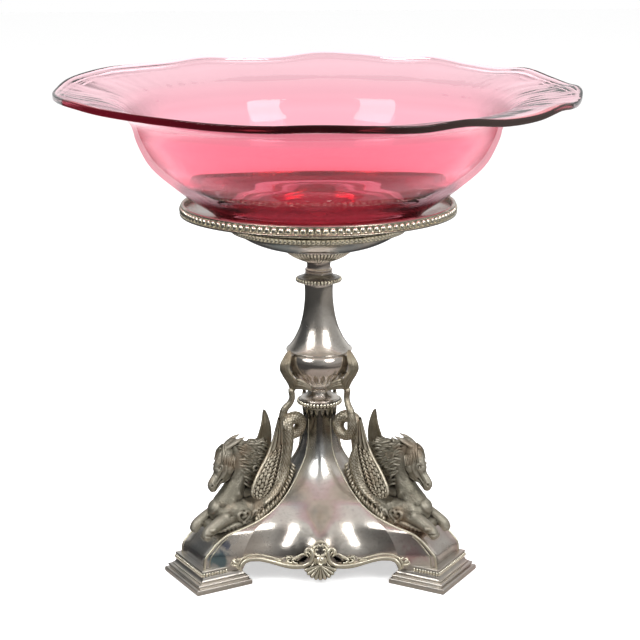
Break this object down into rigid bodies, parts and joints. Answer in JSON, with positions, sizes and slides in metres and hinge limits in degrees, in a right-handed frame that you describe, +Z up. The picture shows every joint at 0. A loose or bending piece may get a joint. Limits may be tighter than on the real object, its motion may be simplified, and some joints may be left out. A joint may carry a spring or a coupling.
{
  "type": "table centrepiece",
  "caption": "Table centrepiece: a wavy-brimmed cranberry glass bowl resting in a beaded silver plated dish on a turned stem and a three-footed base with winged sea horses.",
  "frame": {"origin": "on the vertical axis of the stem, at the surface that the feet stand on", "axes": "+Z up along the stem; -Y towards the viewer, between the left and the right leg; +X to the viewer's right"},
  "size_m": [0.294, 0.294, 0.2883],
  "materials": {
    "polished_plate": "polished silver plate, lightly tarnished and warm grey",
    "moulding": "beaded and stamped mouldings with dark recesses and a yellowish bloom",
    "cast_plate": "matte greenish grey cast metal with dark recesses",
    "fixing_steel": "plain steel fixings, out of sight",
    "cranberry_glass": "clear blown glass, deep cranberry at the floor fading to pale pink at the brim"
  },
  "bodies": {
    "stand": {"base_shell": "polished_plate", "foot_plinth_left": "polished_plate", "foot_plinth_right": "polished_plate", "foot_plinth_rear": "polished_plate", "apron_shell_left": "moulding", "apron_shell_right": "moulding", "apron_shell_rear": "moulding", "tie_rod": "fixing_steel", "tie_rod_washer": "fixing_steel", "tie_rod_nut": "fixing_steel", "column_cap": "polished_plate", "leaf_collar": "moulding", "gadrooned_cup": "polished_plate", "stem_vase": "polished_plate", "beaded_knop": "polished_plate", "dish_neck": "polished_plate", "fluted_collar": "polished_plate", "dish": "polished_plate", "rim_beading": "moulding", "pan_beading": "moulding", "sea_horse_left": "cast_plate", "sea_horse_right": "cast_plate", "sea_horse_rear": "cast_plate", "wing_left_a": "cast_plate", "wing_left_b": "cast_plate", "wing_right_a": "cast_plate", "wing_right_b": "cast_plate", "wing_rear_a": "cast_plate", "wing_rear_b": "cast_plate", "tail_left": "cast_plate", "tail_right": "cast_plate", "tail_rear": "cast_plate", "tail_fin_left": "cast_plate", "tail_fin_right": "cast_plate", "tail_fin_rear": "cast_plate", "sea_horse_screw_left": "fixing_steel", "sea_horse_screw_right": "fixing_steel", "sea_horse_screw_rear": "fixing_steel"},
    "bowl": {"glass_bowl": "cranberry_glass"}
  },
  "joints": [
    {"name": "bowl_lift", "type": "slide", "parent": "stand", "child": "bowl", "axis": [0, 0, 1], "range_m": [0, 0.06]}
  ]
}
